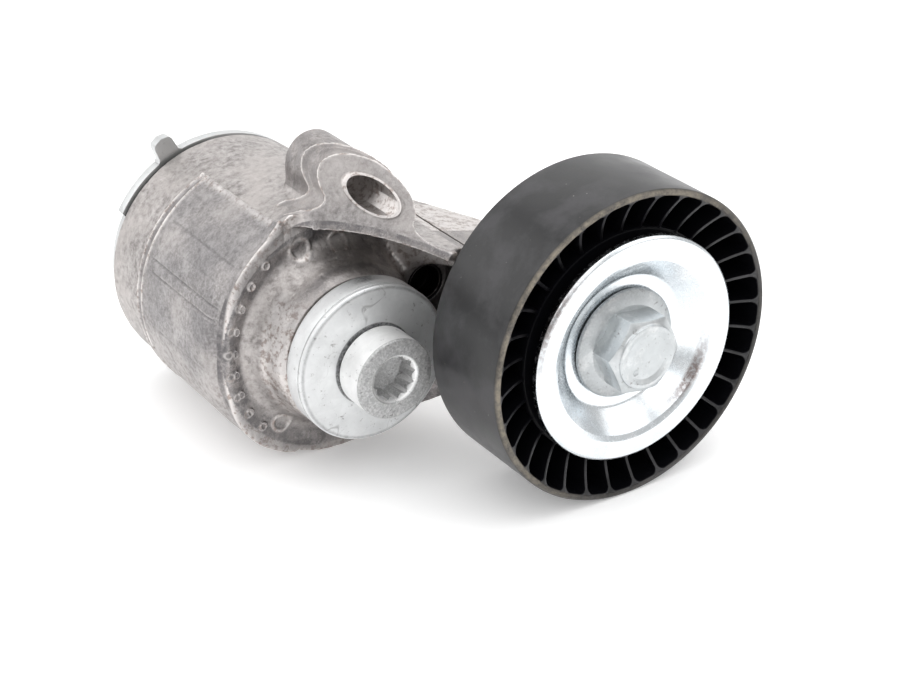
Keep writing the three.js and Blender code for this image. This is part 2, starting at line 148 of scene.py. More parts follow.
def prism(name, outline, front, rear, cx=0.0, cz=0.0):
    """XZ outline filled from y = front to y = rear."""
    n = len(outline)
    verts = [(cx + x, front, cz + z) for x, z in outline] + [(cx + x, rear, cz + z) for x, z in outline]
    faces = [list(range(n)), list(range(n, 2 * n))]
    faces += [[k, (k + 1) % n, n + (k + 1) % n, n + k] for k in range(n)]
    return obj_of(name, mesh_of(name, verts, faces))


def cut(a, b, operation="DIFFERENCE"):
    """Boolean of two closed meshes; b is used up."""
    mod = a.modifiers.new("cut", "BOOLEAN")
    mod.operation = operation
    mod.solver = "MANIFOLD"
    mod.object = b
    apply(a)
    bpy.data.objects.remove(b)
    return a


def apply(ob):
    dg = bpy.context.evaluated_depsgraph_get()
    dg.update()
    me = bpy.data.meshes.new_from_object(ob.evaluated_get(dg))
    ob.modifiers.clear()
    old = ob.data
    ob.data = me
    bpy.data.meshes.remove(old)
    return ob


def join(name, *obs):
    """Several closed meshes as the parts of one object."""
    bm = bmesh.new()
    for ob in obs:
        bm.from_mesh(ob.data)
        bpy.data.objects.remove(ob)
    me = bpy.data.meshes.new(name)
    bm.to_mesh(me)
    bm.free()
    return obj_of(name, me)


def remesh(ob, voxel):
    mod = ob.modifiers.new("remesh", "REMESH")
    mod.mode = "VOXEL"
    mod.voxel_size = voxel * 0.001
    mod.adaptivity = 0
    return apply(ob)


def bevelled(ob, width, angle=30, segments=2):
    mod = ob.modifiers.new("bevel", "BEVEL")
    mod.width = width * 0.001
    mod.segments = segments
    mod.limit_method = "ANGLE"
    mod.angle_limit = math.radians(angle)
    mod.harden_normals = False
    return apply(ob)


def coords(me, attribute="co"):
    out = np.empty(len(me.vertices) * 3, np.float32)
    if attribute == "co":
        me.vertices.foreach_get("co", out)
    else:
        me.vertex_normals.foreach_get("vector", out)
    return out.reshape(-1, 3)


def positions(ob):
    """Vertex positions in the pivot frame, in millimetres."""
    return coords(ob.data) * 1000 - OFFSET.astype(np.float32)


def push(ob, distance):
    """Moves each vertex along its normal; distance in mm, a number or one per vertex."""
    co, no = coords(ob.data), coords(ob.data, "normal")
    d = np.broadcast_to(np.asarray(distance, np.float32), len(co))[:, None] * 0.001
    ob.data.vertices.foreach_set("co", (co + no * d).astype(np.float32).ravel())
    ob.data.update()


def neighbours(me):
    e = np.empty(len(me.edges) * 2, np.int32)
    me.edges.foreach_get("vertices", e)
    return e.reshape(-1, 2)


def averaged(values, e, count):
    s = np.zeros((count,) + values.shape[1:], np.float64)
    w = np.bincount(e.ravel(), minlength=count).astype(float)
    np.add.at(s, e[:, 0], values[e[:, 1]])
    np.add.at(s, e[:, 1], values[e[:, 0]])
    return s / np.maximum(w, 1).reshape((-1,) + (1,) * (values.ndim - 1))


def relax(ob, times, amount=0.5):
    co = coords(ob.data).astype(np.float64)
    e = neighbours(ob.data)
    for _ in range(times):
        co += (averaged(co, e, len(co)) - co) * amount
    ob.data.vertices.foreach_set("co", co.astype(np.float32).ravel())
    ob.data.update()


def polar(r, degrees, x=0.0, z=0.0):
    a = math.radians(degrees)
    return (x + r * math.cos(a), z + r * math.sin(a))


def arc(r, start, end, steps, x=0.0, z=0.0):
    return [polar(r, start + (end - start) * k / steps, x, z) for k in range(steps + 1)]


def half_space(name, point, normal, size=200.0):
    """Big box on the outer side of a plane."""
    n = Vector(normal).normalized()
    q = Vector((0, 0, 1)).rotation_difference(n)
    h = size / 2
    corners = [(x, y, z) for z in (0, size) for y in (-h, h) for x in (-h, h)]
    verts = [tuple(Vector(point) + q @ Vector(c)) for c in corners]
    faces = [[0, 1, 3, 2], [4, 5, 7, 6], [0, 1, 5, 4], [2, 3, 7, 6], [0, 2, 6, 4], [1, 3, 7, 5]]
    return obj_of(name, mesh_of(name, verts, faces))


def lattice(shape, seed):
    return np.random.default_rng(seed).random(shape).astype(np.float32)


def value_noise(p, scale, seed):
    """Smooth noise in 0..1 at points p (mm), features about scale mm across."""
    table = lattice((64, 64, 64), seed)
    q = p / scale + 1000
    i = np.floor(q).astype(int)
    f = q - i
    f = f * f * (3 - 2 * f)
    out = np.zeros(len(p), np.float32)
    for dx in (0, 1):
        for dy in (0, 1):
            for dz in (0, 1):
                w = (f[:, 0] if dx else 1 - f[:, 0]) * (f[:, 1] if dy else 1 - f[:, 1]) \
                    * (f[:, 2] if dz else 1 - f[:, 2])
                out += w * table[(i[:, 0] + dx) % 64, (i[:, 1] + dy) % 64, (i[:, 2] + dz) % 64]
    return out


def attribute(ob, name, values):
    at = ob.data.attributes.get(name) or ob.data.attributes.new(name, "FLOAT", "POINT")
    at.data.foreach_set("value", np.asarray(values, np.float32))

# ------------------------------------------------------------------ material helpers


class Look:
    """A Principled material with a small tree of noise for colour, roughness and relief."""

    def __init__(self, name, metallic=0.0, roughness=0.5, color=(0.5, 0.5, 0.5), **sockets):
        self.mat = bpy.data.materials.new(name)
        self.mat.use_nodes = True
        self.tree = self.mat.node_tree
        self.bsdf = next(n for n in self.tree.nodes if n.type == "BSDF_PRINCIPLED")
        self.set("Metallic", metallic)
        self.set("Roughness", roughness)
        self.set("Base Color", (*color, 1))
        for k, v in sockets.items():
            self.set(k.replace("_", " "), v)
        self.point = self.node("ShaderNodeTexCoord").outputs["Object"]

    def node(self, kind, **values):
        n = self.tree.nodes.new(kind)
        for k, v in values.items():
            setattr(n, k, v)
        return n

    def link(self, a, b):
        self.tree.links.new(a, b)
        return b

    def set(self, socket, value):
        s = self.bsdf.inputs[socket]
        if isinstance(value, bpy.types.NodeSocket):
            self.link(value, s)
        else:
            s.default_value = value

    def noise(self, size, detail=3.0, rough=0.55, warp=0.0, stretch=None, kind="FBM"):
        """Noise with features about size mm across; stretch scales X, Y and Z."""
        n = self.node("ShaderNodeTexNoise", noise_type=kind)
        n.inputs["Scale"].default_value = 1000.0 / size
        n.inputs["Detail"].default_value = detail
        n.inputs["Roughness"].default_value = rough
        n.inputs["Distortion"].default_value = warp
        source = self.point
        if stretch:
            m = self.node("ShaderNodeMapping")
            m.inputs["Scale"].default_value = stretch
            self.link(source, m.inputs["Vector"])
            source = m.outputs["Vector"]
        self.link(source, n.inputs["Vector"])
        return n.outputs["Fac"]

    def cells(self, size, feature="F1", randomness=1.0):
        n = self.node("ShaderNodeTexVoronoi", feature=feature)
        n.inputs["Scale"].default_value = 1000.0 / size
        n.inputs["Randomness"].default_value = randomness
        self.link(self.point, n.inputs["Vector"])
        return n.outputs["Distance"]

    def attr(self, name):
        return self.node("ShaderNodeAttribute", attribute_name=name).outputs["Fac"]

    def ramp(self, fac, *stops, smooth=False):
        """Maps 0..1 to numbers or colours: stops are (position, value)."""
        n = self.node("ShaderNodeValToRGB")
        n.color_ramp.interpolation = "EASE" if smooth else "LINEAR"
        while len(n.color_ramp.elements) < len(stops):
            n.color_ramp.elements.new(0.5)
        for e, (p, v) in zip(n.color_ramp.elements, stops):
            e.position = p
            e.color = (*v, 1) if isinstance(v, tuple) else (v, v, v, 1)
        self.link(fac, n.inputs["Fac"])
        return n.outputs["Color"]

    def mix(self, fac, a, b, blend="MIX"):
        n = self.node("ShaderNodeMix", data_type="RGBA", blend_type=blend)
        for i, v in ((0, fac), (6, a), (7, b)):
            if isinstance(v, bpy.types.NodeSocket):
                self.link(v, n.inputs[i])
            elif i:
                n.inputs[i].default_value = (*v, 1) if isinstance(v, tuple) else (v, v, v, 1)
            else:
                n.inputs[i].default_value = v
        return n.outputs[2]

    def math(self, operation, a, b=0.5, clamp=False):
        n = self.node("ShaderNodeMath", operation=operation, use_clamp=clamp)
        for i, v in enumerate((a, b)):
            if isinstance(v, bpy.types.NodeSocket):
                self.link(v, n.inputs[i])
            else:
                n.inputs[i].default_value = v
        return n.outputs[0]

    def relief(self, *layers):
        """Bump from (height socket, depth in mm) pairs."""
        normal = None
        for height, depth in layers:
            b = self.node("ShaderNodeBump")
            b.inputs["Strength"].default_value = 1.0
            b.inputs["Distance"].default_value = depth * 0.001
            self.link(height, b.inputs["Height"])
            if normal:
                self.link(normal, b.inputs["Normal"])
            normal = b.outputs["Normal"]
        self.set("Normal", normal)
        return self


def cast_look():
    """Die-cast aluminium: warm matt skin with dark grain, an etched panel, bright edges that are partly worn
    metal and partly painted highlight, and darkening that is partly stain and partly painted shade.
    """
    m = Look("cast_aluminium", metallic=0.9, roughness=0.45)
    patches = m.noise(12, 4, 0.6, 0.2)
    mottle = m.noise(1.5, 7, 0.72, 0.1)
    speck = m.noise(0.7, 5, 0.75)
    grain = m.noise(0.26, 2, 0.5)
    skin = m.ramp(mottle, (0.36, (0.235, 0.217, 0.211)), (0.5, (0.375, 0.352, 0.343)),
                  (0.64, (0.495, 0.47, 0.46)))
    skin = m.mix(m.ramp(patches, (0.40, 0.0), (0.62, 0.7)), skin, (0.495, 0.462, 0.447))
    etch = m.ramp(speck, (0.36, (0.08, 0.077, 0.08)), (0.47, (0.20, 0.194, 0.198)),
                  (0.55, (0.31, 0.30, 0.308)), (0.68, (0.56, 0.55, 0.555)))
    etch = m.mix(m.ramp(m.noise(6, 5, 0.7, 0.3), (0.52, 0.0), (0.64, 0.5)), etch, (0.50, 0.49, 0.495))
    base = m.mix(m.math("MULTIPLY", m.attr("etched"), 0.65), skin, etch)
    shade = m.math("MULTIPLY", m.attr("etched"), m.ramp(patches, (0.40, 0.5), (0.60, 0.0)))
    base = m.mix(shade, base, (0.20, 0.193, 0.197))
    base = m.mix(m.ramp(speck, (0.60, 0.0), (0.68, 0.5)), base, (0.15, 0.135, 0.13))
    blotch = m.ramp(m.noise(3.0, 7, 0.75, 0.15), (0.42, 0.15), (0.56, 1.0))
    # darkening mask: stains, and painted shade in the arm's pocket, on downward faces and in the cored recess
    base = m.mix(m.math("MULTIPLY", m.attr("stain_and_shade"), blotch), base, (0.10, 0.095, 0.10))
    # near the top of that mask the colour goes near-black: painted shade in the deepest step of the cored
    # recess
    base = m.mix(m.ramp(m.attr("stain_and_shade"), (0.86, 0.0), (0.97, 1.0)), base, (0.012, 0.011, 0.011))
    # bright edge tone: worn metal, and painted highlights on seams, beads, blank rims and lit spots
    worn_and_lit = m.attr("edge")
    rubbed_and_lit = m.mix(m.ramp(mottle, (0.42, 0.0), (0.5, 1.0)), (0.40, 0.32, 0.285), (0.86, 0.82, 0.80))
    base = m.mix(worn_and_lit, base, rubbed_and_lit)
    m.set("Base Color", base)
    rough = m.ramp(mottle, (0.3, 0.55), (0.7, 0.36))
    rough = m.mix(m.attr("edge"), rough, 0.28)
    m.set("Roughness", rough)
    m.relief((mottle, 0.06), (speck, 0.06), (grain, 0.02))
    return m.mat


def zinc_look(name, tint, rough, specks=0.5, metal=0.7, grime_and_shade=0.0, scratches=0.0, bloom=0.0):
    """Satin zinc plating with faint clouds, dark corrosion specks, scratches and white bloom, and a darkening
    mask that holds grime and painted shade.
    """
    m = Look(name, metallic=metal, roughness=rough)
    cloud = m.noise(5, 4, 0.6, 0.3)
    fine = m.noise(0.45, 4, 0.65)
    dirt = m.noise(1.5, 6, 0.75, 0.3)
    low = tuple(c * 0.86 for c in tint)
    base = m.mix(m.ramp(cloud, (0.35, 0.0), (0.65, 1.0)), low, tint)
    base = m.mix(m.ramp(dirt, (0.60, 0.0), (0.68, specks)), base, (0.20, 0.185, 0.18))
    if bloom:
        base = m.mix(m.ramp(m.noise(3.2, 7, 0.75, 0.2), (0.50, 0.0), (0.66, bloom)), base, (0.95, 0.95, 0.94))
    if scratches:
        curl = m.ramp(m.noise(16, 2, 0.5, 0.5), (0.4965, 0.0), (0.5, 1.0), (0.5035, 0.0))
        where = m.ramp(m.noise(9, 3, 0.6), (0.47, 0.0), (0.58, scratches))
        base = m.mix(m.math("MULTIPLY", curl, where), base, (0.13, 0.12, 0.12))
    # darkening mask: grime in some places, painted shade in others
    if grime_and_shade:
        thick = m.ramp(fine, (0.35, 0.55), (0.6, 1.0))
        base = m.mix(m.math("MULTIPLY", m.attr("grime_and_shade"), thick), base, (0.07, 0.07, 0.075))
    m.set("Base Color", base)
    m.set("Roughness", m.ramp(fine, (0.3, rough * 1.2), (0.7, rough * 0.85)))
    m.relief((fine, 0.015), (dirt, 0.02))
    return m.mat


def cap_look():
    """Bright zinc on pressed sheet: blue-white, soft mirror, a few specks."""
    m = Look("bright_zinc", metallic=1.0, roughness=0.24)
    cloud = m.noise(7, 3, 0.5, 0.4)
    base = m.mix(m.ramp(cloud, (0.35, 0.0), (0.65, 1.0)), (0.78, 0.83, 0.865), (0.88, 0.91, 0.93))
    dirt = m.noise(0.9, 4, 0.7, 0.4)
    burnt = m.math("MULTIPLY", m.attr("grime_and_shade"), m.ramp(dirt, (0.40, 0.45), (0.55, 1.0)))
    m.set("Base Color", m.mix(burnt, base, (0.16, 0.10, 0.085)))
    m.set("Roughness", m.ramp(dirt, (0.45, 0.22), (0.7, 0.34)))
    m.relief((m.noise(14, 2, 0.5), 0.05))
    return m.mat


def nylon_look():
    """Black moulded nylon, satin, smudged by handling, with dust, the tan fuzz of a worn edge, and painted
    shade in the pockets of the ribbed faces.
    """
    m = Look("black_nylon", roughness=0.38)
    smudge = m.noise(10, 5, 0.6, 0.1)
    fine = m.noise(0.4, 3, 0.6)
    fuzz = m.ramp(m.noise(2.6, 7, 0.75), (0.38, 0.2), (0.6, 1.0))
    base = m.mix(m.ramp(smudge, (0.44, 0.0), (0.62, 1.0)), (0.009, 0.009, 0.010), (0.036, 0.035, 0.038))
    dust = m.ramp(m.cells(3.1), (0.03, 1.0), (0.06, 0.0))
    base = m.mix(m.math("MULTIPLY", dust, m.ramp(smudge, (0.45, 0.1), (0.6, 0.7))), base, (0.36, 0.34, 0.31))
    # painted shade: the pockets of the ribbed faces drawn near-black
    base = m.mix(m.attr("painted_pocket_shade"), base, (0.003, 0.003, 0.004))
    wear = m.math("MULTIPLY", m.attr("wear"), fuzz)
    base = m.mix(wear, base, (0.24, 0.21, 0.165))
    m.set("Base Color", base)
    m.set("Roughness", m.mix(wear, m.ramp(smudge, (0.4, 0.28), (0.7, 0.45)), 0.7))
    # less reflection in the pockets, part of the same painted shade
    m.set("Specular IOR Level", m.ramp(m.attr("painted_pocket_shade"), (0.2, 0.45), (0.9, 0.12)))
    m.relief((fine, 0.012))
    return m.mat


def plain_look(name, color, rough, metallic=0.0, grain=0.02, vary=0.15):
    """Quiet finish for small and inner pieces."""
    m = Look(name, metallic=metallic, roughness=rough)
    n = m.noise(3, 4, 0.6)
    dark = tuple(c * (1 - vary) for c in color)
    m.set("Base Color", m.mix(m.ramp(n, (0.35, 0.0), (0.65, 1.0)), dark, color))
    m.set("Roughness", m.ramp(n, (0.3, rough * 1.15), (0.7, rough * 0.9)))
    m.relief((m.noise(0.5, 3), grain))
    return m.mat


CAST = cast_look()
DISC = zinc_look("zinc_disc", (0.81, 0.82, 0.825), 0.45, 0.7, grime_and_shade=1, scratches=0.45)
ZINC = zinc_look("zinc_bolt", (0.97, 0.97, 0.965), 0.42, 0.8, metal=0.6, grime_and_shade=1)
DULL = zinc_look("zinc_flange", (0.60, 0.625, 0.635), 0.32, 0.9, metal=0.95, grime_and_shade=1, bloom=0.35)
PLATE = zinc_look("zinc_plate", (0.64, 0.65, 0.65), 0.38, 0.4, metal=0.9)
CAP = cap_look()
NYLON = nylon_look()
STEEL = plain_look("bare_steel", (0.55, 0.55, 0.56), 0.3, 1.0, 0.006)
RACE = plain_look("bearing_steel", (0.7, 0.7, 0.71), 0.16, 1.0, 0.002, 0.06)
SPRING = plain_look("spring_steel", (0.2, 0.2, 0.21), 0.4, 1.0, 0.01)
RUBBER = plain_look("black_rubber", (0.02, 0.02, 0.02), 0.75)
LINING = plain_look("grey_polymer", (0.3, 0.28, 0.25), 0.6)
CAGE = plain_look("brown_nylon", (0.35, 0.26, 0.15), 0.5)

# ------------------------------------------------------------------ arm casting
DRUM_R, PANEL_R, REAR, RIM, FACE = 28.5, 29.4, -3.6, -55.5, -54.0
NECK_R, NECK_FRONT = 17.0, -64.5
LUG_X, LUG_Z = 5.0, 34.2
WEB_FRONT, WEB_END = -83.0, 14.0
PIN_X, PIN_Z = LUG_X - 0.33, LUG_Z + 0.54
MOUTH_N, MOUTH_P = Vector((-0.67, -0.5, 0.55)).normalized(), Vector((LUG_X, -64.8, LUG_Z))
BOSS_R, BOSS_FRONT, BOSS_REAR = 12.5, -80.6, -66.0
ROOT_X, ROOT_Z, ROOT_R = 3, 4, 24.5      # round end of the arm's top wall
CORE_X, CORE_Z = 22, 7.7                 # recess in the arm
STEP_X, STEP_Z = 23, 6.4                 # its deeper step
SEAM_Y = -54.9                           # parting seam round the rim
BEAD_REAR, BEAD_GROOVE, BEAD_FRONT = -18.5, -19.5, -20.5

# round blanks on the rim's face: angle, distance from the pivot, radius
MARKS = [(-127, 22.8, 2.4), (86, 21.6, 2.4), (109, 23.2, 2.7)]
MARKS += [(angle, 25.6, 0.95) for angle in range(128, 230, 12)]


def tangent(a, b, side):
    span = math.dist(a[:2], b[:2])
    along = math.degrees(math.atan2(b[1] - a[1], b[0] - a[0]))
    return along + side * math.degrees(math.acos((a[2] - b[2]) / span))


def arm_outline(inset):
    """Round the boss, along the lower wall to the drum, and back over the top wall."""
    boss, drum = (REACH, RISE, BOSS_R - inset), (0, 0, 27.5 - inset)
    root = (ROOT_X, ROOT_Z, ROOT_R - inset)
    top, low = tangent(root, boss, 1), tangent(drum, boss, -1)
    pts = [polar(root[2], top, ROOT_X, ROOT_Z)]
    pts += arc(boss[2], top, low, 40, REACH, RISE)
    pts += arc(drum[2], low, low - 60, 24)
    return pts + [(-12, 0)]


def lug_body(shrink):
    barrel = turned("barrel", [(0, -95), (5 - shrink, -95), (5 - shrink, -73), (6.6 - shrink, -61),
                               (6.7 - shrink, -38.4, 0.8), (0, -38.4)], LUG_X, LUG_Z, 96)
    s = shrink
    foot = [(LUG_X - 6.5 + s, LUG_Z), (LUG_X - 6.5 + s, 31), (-1.9 + s, 29.4), (-3.2 + s * 0.6, 27.9),
            (-6.5, 26.9), (-9.5, 24.5), (8, 20), (12.9, 25.4), (10.6, 27.4 - s * 0.3), (9.3 - s * 0.5, 28.2),
            (8.65 - s, 29.2), (8.6 - s, 30.5), (9.2 - s, 32), (LUG_X + 5.1 - s, LUG_Z)]
    barrel = cut(barrel, prism("foot", foot, -95, -38.4), "UNION")
    # the web's left root, spread along the rim
    spread = [(2, 33), (-1.6 + s, 33), (-1.8 + s, 32.3), (-2.3 + s, 31.6 - s * 0.3),
              (-3.2 + s * 0.6, 30.9 - s * 0.7), (-4.7, 30.1 - s), (-6.2, 29.6 - s), (-7.4, 28.9 - s),
              (-8.7, 27.8 - s), (-10.1, 26.4 - s), (-10.1, 24), (2, 24)]
    root = cut(prism("spread", spread, -95, -44), half_space("behind", MOUTH_P - MOUTH_N * 4.4, -MOUTH_N))
    return cut(barrel, root, "UNION")


def gusset():
    """Fillet that grows from the drum's top into the left root of the lug's web."""
    front = [polar(30.0, 103), polar(30.0, 108), polar(29.6, 113), polar(29.0, 119), polar(27, 126),
             polar(24, 112), polar(24, 100), polar(30, 98)]
    back = [polar(28.3, 100), polar(28.4, 106), polar(28.3, 112), polar(24, 106)]
    pts = [(x, -55.2, z) for x, z in front] + [(x, -52.6, z) for x, z in front]
    pts += [(x, -40, z) for x, z in back]
    me = bpy.data.meshes.new("gusset")
    bm = bmesh.new()
    for p in pts:
        bm.verts.new(tuple((np.array(p) + OFFSET) * 0.001))
    hull = bmesh.ops.convex_hull(bm, input=bm.verts)
    inner = [v for v in hull["geom_interior"] if isinstance(v, bmesh.types.BMVert)]
    bmesh.ops.delete(bm, geom=inner, context="VERTS")
    bmesh.ops.triangulate(bm, faces=bm.faces)
    bmesh.ops.recalc_face_normals(bm, faces=bm.faces)
    bm.to_mesh(me)
    bm.free()
    return obj_of("gusset", me)


def casting():
    body = turned("arm_casting", [
        (0, REAR), (DRUM_R, REAR, 0.8), (DRUM_R, RIM + 0.2, 0.7), (27.9, RIM + 0.1, 0.5),
        (21.4, FACE - 0.5, 3.5), (18.9, -59, 2.5), (17.9, NECK_FRONT + 1.4, 1), (NECK_R, NECK_FRONT),
        (0, NECK_FRONT)], n=256)
    arm = prism("arm", arm_outline(0), WEB_FRONT, -40)
    pocket = prism("pocket", arm_outline(3), -100, FACE)
    pocket = cut(pocket, turned("under", [(0, -100), (27.6, -100), (27.6, FACE), (0, FACE)], n=160), "UNION")
    pocket = cut(pocket, half_space("rise", (13, FACE, 0), (1.1, 1, 0)))
    lug = cut(lug_body(0), half_space("step", MOUTH_P - MOUTH_N * 3.2, MOUTH_N))
    nose = cut(lug_body(0.1), half_space("mouth", MOUTH_P, MOUTH_N))
    lug = cut(lug, nose, "UNION")
    arm = cut(arm, half_space("mouth", MOUTH_P, MOUTH_N))
    arm = cut(arm, lug, "UNION")
    arm = cut(arm, half_space("front", (0, WEB_FRONT, 0), (0, -1, 0)))
    arm = cut(arm, prism("right", [(WEB_END, -60), (80, -60), (80, 60), (WEB_END, 60)], -130, BOSS_FRONT))
    low = [(-40, -60), (WEB_END + 1, -60), (WEB_END + 1, 20), (-40, 20)]
    arm = cut(arm, prism("below", low, -130, BOSS_FRONT))
    slope = half_space("slope", (22, -63, -20), (-0.57, -0.82, -0.12))
    lower = prism("lower", [(-40, -60), (80, -60), (80, 4), (-40, 4)], -130, 0)
    arm = cut(arm, cut(slope, lower, "INTERSECT"))
    rear = half_space("rear", (24, -50, 0), (1.33, 1, 0))
    keep = prism("keep", [(0, -30), (90, -30), (90, 40), (0, 40)], -126, BOSS_REAR)
    arm = cut(arm, cut(rear, keep))
    arm = cut(arm, pocket)
    body = cut(body, arm, "UNION")
    body = cut(body, gusset(), "UNION")
    boss = turned("boss", [(0, BOSS_REAR), (BOSS_R, BOSS_REAR, 0.8), (BOSS_R, BOSS_FRONT, 0.6),
                           (11, BOSS_FRONT), (11, -86.5), (0, -86.5)], REACH, RISE, 128)
    body = cut(body, boss, "UNION")
    # cast fillets in every inner corner
    body = remesh(body, 0.4)
    push(body, 0.8)
    body = remesh(body, 0.4)
    push(body, -0.8)
    # parting seams: one round the mouth of the lug, one round its step
    for grow, back in ((0.3, 0.0), (0.5, 3.1)):
        seam = cut(lug_body(-grow), half_space("seam", MOUTH_P - MOUTH_N * back, MOUTH_N))
        seam = cut(seam, half_space("seam", MOUTH_P - MOUTH_N * (back + 0.5), -MOUTH_N))
        low = arc(27.6, 120, 0, 40) + [(60, 0), (60, -40), (-60, -40), (-60, 24)]
        seam = cut(seam, prism("below", low, -130, 0))
        seam = cut(seam, prism("beyond", [(-20, 0), (60, 0), (60, 60), (-20, 60)], -130, WEB_FRONT))
        seam = cut(seam, prism("right", [(WEB_END, 0), (60, 0), (60, 60), (WEB_END, 60)], -120, -40))
        body = cut(body, seam, "UNION")
    # round blanks on the rim's face: two ejector marks, one blank badge, a row of dots
    for angle, r, size in MARKS:
        x, z = polar(r, angle)
        y = FACE - 0.5 - (r - 21.4) * 0.138
        inner = size * 0.68
        mark = turned("mark", [(0, y - 0.12), (inner, y - 0.12), (inner + 0.12, y - 0.5),
                               (size, y - 0.5, 0.15), (size + 0.15, y + 1.5), (0, y + 1.5)], x, z, 32)
        body = cut(body, mark, "UNION")
    # stepped cored recess, the line along the arm's top, small pores
    body = cut(body, turned("core", [(0, -90), (6.7, -90), (6.3, -56, 0.5), (0, -56)], CORE_X, CORE_Z, 64))
    deeper = turned("core_step", [(0, -90), (4.1, -90), (3.8, -51.5), (0, -51.5)], STEP_X, STEP_Z, 48)
    body = cut(body, deeper)
    line = prism("line", [(18.0, 22), (18.5, 22), (18.5, 30), (18.0, 30)], -84, -57)
    shelf = prism("shelf", [(0, 0), (60, -16.2), (60, 7.9), (0, 24.1)], -84, -40)
    body = cut(body, cut(line, shelf))
    for x, y, z, r in ((14.6, -60.5, 14.6, 0.7), (9, -57.8, 21.6, 0.5), (-20.6, -54.2, 11.2, 0.6),
                       (-22.4, -54.3, 4, 0.5)):
        ball = [(0, y - r), (r * 0.7, y - r * 0.7), (r, y), (r * 0.7, y + r * 0.7), (0, y + r)]
        pore = turned("pore", ball, x, z, 12)
        body = cut(body, pore)
    body = remesh(body, VOXEL)
    relax(body, 1, 0.5)
    taper_rim(body)
    relief_of_drum(body)
    dress(body)
    # machined and cored holes
    lip = turned("lip", [(2.9, -90), (3.65, -90), (3.65, -50), (2.9, -50)], PIN_X, PIN_Z, 96)
    lip = cut(lip, half_space("lip_end", MOUTH_P + MOUTH_N * 0.45, MOUTH_N))
    lip = bevelled(lip, 0.2, 40, 3)
    body = cut(body, lip, "UNION")
    body = cut(body, turned("pin_hole", [(0, -99), (3.2, -99), (3.2, -30), (0, -30)], PIN_X, PIN_Z, 96))
    body = cut(body, turned("bolt_hole", [(0, -99), (5.3, -99), (5.3, -50), (0, -50)], REACH, RISE, 64))
    body = cut(body, turned("chamber", [(0, -49), (25, -49), (25, 9), (0, 9)], n=128))
    body = cut(body, turned("bore", [(0, -80), (10.9, -80), (10.9, -40), (0, -40)], n=96))
    co = local(body.data)[0]
    near = np.hypot(co[:, 0] - PIN_X, co[:, 2] - PIN_Z)
    edge = np.empty(len(co), np.float32)
    body.data.attributes["edge"].data.foreach_get("value", edge)
    ahead = (co - np.array(MOUTH_P)) @ np.array(MOUTH_N)
    polished = (co[:, 1] < -45) * ((near < 3.3) | ((near < 3.75) & (ahead > 0.12)))
    attribute(body, "edge", np.maximum(edge, 0.55 * polished))
    return body


def local(me):
    """Vertex positions in the pivot frame, in millimetres, with radius and angle about the pivot."""
    co = coords(me).astype(np.float64) * 1000 - OFFSET
    return co, np.hypot(co[:, 0], co[:, 2]), np.degrees(np.arctan2(co[:, 2], co[:, 0])) % 360


def swell(body, co, r, amount):
    """Moves vertices away from the pivot's axis by amount, in millimetres."""
    unit = amount / np.maximum(r, 1)
    co[:, 0] += co[:, 0] * unit
    co[:, 2] += co[:, 2] * unit
    body.data.vertices.foreach_set("co", ((co + OFFSET) * 0.001).astype(np.float32).ravel())
    body.data.update()


def taper_rim(body):
    """The drum's front edge draws in and out round the rim."""
    co, r, angle = local(body.data)
    shift = np.interp(angle, (100, 108, 119, 140, 158, 177, 198, 213, 230, 250, 262, 290),
                      (0, 1.4, 0.3, -0.6, -1.6, -2.4, -1.7, -0.9, -0.3, -0.8, -0.5, 0))
    depth = np.clip((-49 - co[:, 1]) / 6.3, 0, 1)
    amount = shift * depth ** 1.6 * np.clip((r - 22) / 5, 0, 1)
    swell(body, co, r, amount * (co[:, 1] > -58) * (r < 33))


def step(x, start, end):
    t = np.clip((x - start) / (end - start), 0, 1)
    return t * t * (3 - 2 * t)


def ridge(distance, width):
    return np.exp(-(distance / width) ** 2)


def panel_span(angle):
    """1 between the two long edges of the raised side panel, 0 beyond them."""
    return step(angle, 111, 112.4) * (1 - step(angle, 248, 250))


def panel_along(y):
    """1 in front of the panel's rear edge, 0 behind it."""
    return step(-y, 17.5, 18.4)


def on_panel(angle, y):
    """1 on the raised side panel, 0 off it."""
    return panel_span(angle) * panel_along(y)


# lines along the panel: angle, half width, depth, first and last distance from the mounting face
SCRIBED = [(156, 0.28, 0.28, 22, 53), (161.5, 0.28, 0.28, 22, 53), (137, 0.24, 0.2, 23, 52),
           (147, 0.2, 0.1, 30, 50), (186, 0.25, 0.15, 22, 50)]


def scribe(angle, y, line):
    """1 along a scribed line of the panel, fading to 0 beside it."""
    centre, wide, _, start, end = line
    across = ridge((angle - centre) * math.radians(1) * PANEL_R, wide)
    return across * step(-y, start, start + 1) * (1 - step(-y, end - 1, end))


def relief_of_drum(body):
    """Raised panel with beaded edges and scribed lines, and the parting seam round the rim."""
    co, r, angle = local(body.data)
    y = co[:, 1]
    skin = step(r, 26.6, 27.8) * (y > -56.5) * (r < 31.5)
    mm = math.radians(1) * PANEL_R
    span = panel_span(angle)
    along = panel_along(y)
    amount = 0.68 * on_panel(angle, y)
    beads = 0.22 * ridge(y - BEAD_REAR, 0.4) - 0.16 * ridge(y - BEAD_GROOVE, 0.4)
    amount += (beads + 0.22 * ridge(y - BEAD_FRONT, 0.4)) * span
    amount += 0.24 * ridge((angle - 112.8) * mm, 0.5) * along
    for line in SCRIBED:
        amount -= line[2] * scribe(angle, y, line)
    amount += 0.45 * ridge(y - SEAM_Y, 0.42) * step(angle, 104, 107) * (1 - step(angle, 300, 315))
    swell(body, co, r, amount * skin)


